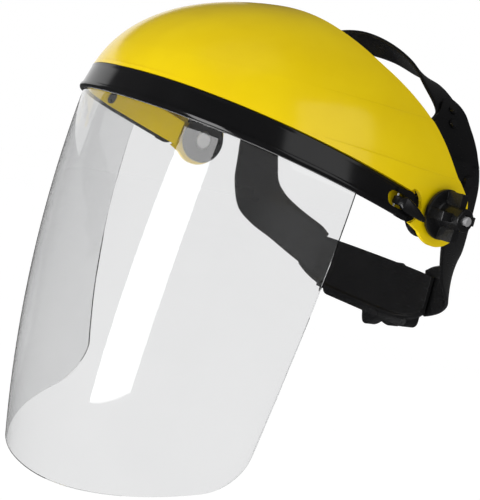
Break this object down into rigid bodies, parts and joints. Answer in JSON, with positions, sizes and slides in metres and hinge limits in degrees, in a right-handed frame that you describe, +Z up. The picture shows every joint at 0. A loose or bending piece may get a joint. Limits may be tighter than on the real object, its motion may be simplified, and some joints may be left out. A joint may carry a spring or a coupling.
{
  "type": "face shield",
  "caption": "Hard brow guard with a clear curved window, tilting on clamp knobs above an adjustable headgear with a nape ratchet.",
  "frame": {"origin": "on the tilt axis, midway between the two pivot bolts, at the middle of the wearer's head", "axes": "+X is the wearer's left, -Y is forwards, +Z is up with the window worn down"},
  "size_m": [0.273, 0.2531, 0.2779],
  "materials": {
    "crown_yellow": "glossy moulded plastic",
    "black_plastic": "glossy moulded plastic",
    "soft_black_plastic": "satin moulded plastic",
    "clear_sheet": "clear polycarbonate sheet",
    "bright_steel": "zinc plated",
    "brass": "turned",
    "grey_rubber": "moulded rubber",
    "black_foam": "foam under woven cloth"
  },
  "bodies": {
    "headgear": {"temple_plate_left": "soft_black_plastic", "temple_rivet_left_front": "black_plastic", "temple_rivet_left_rear": "black_plastic", "friction_washer_left": "grey_rubber", "pivot_bolt_left": "bright_steel", "pivot_sleeve_left": "brass", "side_strap_left": "soft_black_plastic", "crown_strap_left": "soft_black_plastic", "temple_plate_right": "soft_black_plastic", "temple_rivet_right_front": "black_plastic", "temple_rivet_right_rear": "black_plastic", "friction_washer_right": "grey_rubber", "pivot_bolt_right": "bright_steel", "pivot_sleeve_right": "brass", "side_strap_right": "soft_black_plastic", "crown_strap_right": "soft_black_plastic", "forehead_band": "soft_black_plastic", "sweatband": "black_foam", "nape_band": "soft_black_plastic", "crown_peg_1": "black_plastic", "crown_peg_2": "black_plastic", "ratchet_base": "black_plastic", "ratchet_cover": "black_plastic", "ratchet_pawl": "bright_steel"},
    "visor": {"crown_shell": "crown_yellow", "brow_band": "black_plastic", "window": "clear_sheet", "window_rivet_1": "black_plastic", "window_rivet_2": "black_plastic", "window_rivet_3": "black_plastic", "window_rivet_4": "black_plastic", "window_rivet_5": "black_plastic", "latch_pin_left": "bright_steel", "latch_pin_right": "bright_steel"},
    "latch_left": {"band_latch_left": "black_plastic"},
    "latch_right": {"band_latch_right": "black_plastic"},
    "knob_left": {"pivot_knob_left": "black_plastic", "knob_insert_left": "brass"},
    "knob_right": {"pivot_knob_right": "black_plastic", "knob_insert_right": "brass"},
    "ratchet": {"ratchet_knob": "black_plastic", "ratchet_pinion": "black_plastic", "knob_screw": "bright_steel"},
    "rack_left": {"rack_left": "soft_black_plastic"},
    "rack_right": {"rack_right": "soft_black_plastic"}
  },
  "joints": [
    {"name": "visor_tilt", "type": "hinge", "parent": "headgear", "child": "visor", "pos_m": [0, 0, 0], "axis": [-1, 0, 0], "range_deg": [0, 85]},
    {"name": "latch_left_swing", "type": "hinge", "parent": "visor", "child": "latch_left", "pos_m": [0.11331, -0.0315, 0.00216], "axis": [0, -0.225, -0.9744], "range_deg": [0, 95]},
    {"name": "latch_right_swing", "type": "hinge", "parent": "visor", "child": "latch_right", "pos_m": [-0.11331, -0.0315, 0.00216], "axis": [0, 0.225, 0.9744], "range_deg": [0, 95]},
    {"name": "pivot_knob_left_turn", "type": "hinge", "parent": "headgear", "child": "knob_left", "pos_m": [0.12, 0, 0], "axis": [1, 0, 0], "continuous": true},
    {"name": "pivot_knob_right_turn", "type": "hinge", "parent": "headgear", "child": "knob_right", "pos_m": [-0.12, 0, 0], "axis": [-1, 0, 0], "continuous": true},
    {"name": "ratchet_turn", "type": "hinge", "parent": "headgear", "child": "ratchet", "pos_m": [0, 0.0836, -0.0685], "axis": [0, 1, 0], "range_deg": [-90, 60]},
    {"name": "rack_left_slide", "type": "slide", "parent": "headgear", "child": "rack_left", "axis": [1, 0, 0], "range_m": [-0.0096, 0.0064]},
    {"name": "rack_right_slide", "type": "slide", "parent": "headgear", "child": "rack_right", "axis": [-1, 0, 0], "range_m": [-0.0096, 0.0064]}
  ],
  "couplings": [
    {"joint": "rack_left_slide", "follows": "ratchet_turn", "m_per_rad": 0.006},
    {"joint": "rack_right_slide", "follows": "ratchet_turn", "m_per_rad": 0.006}
  ]
}
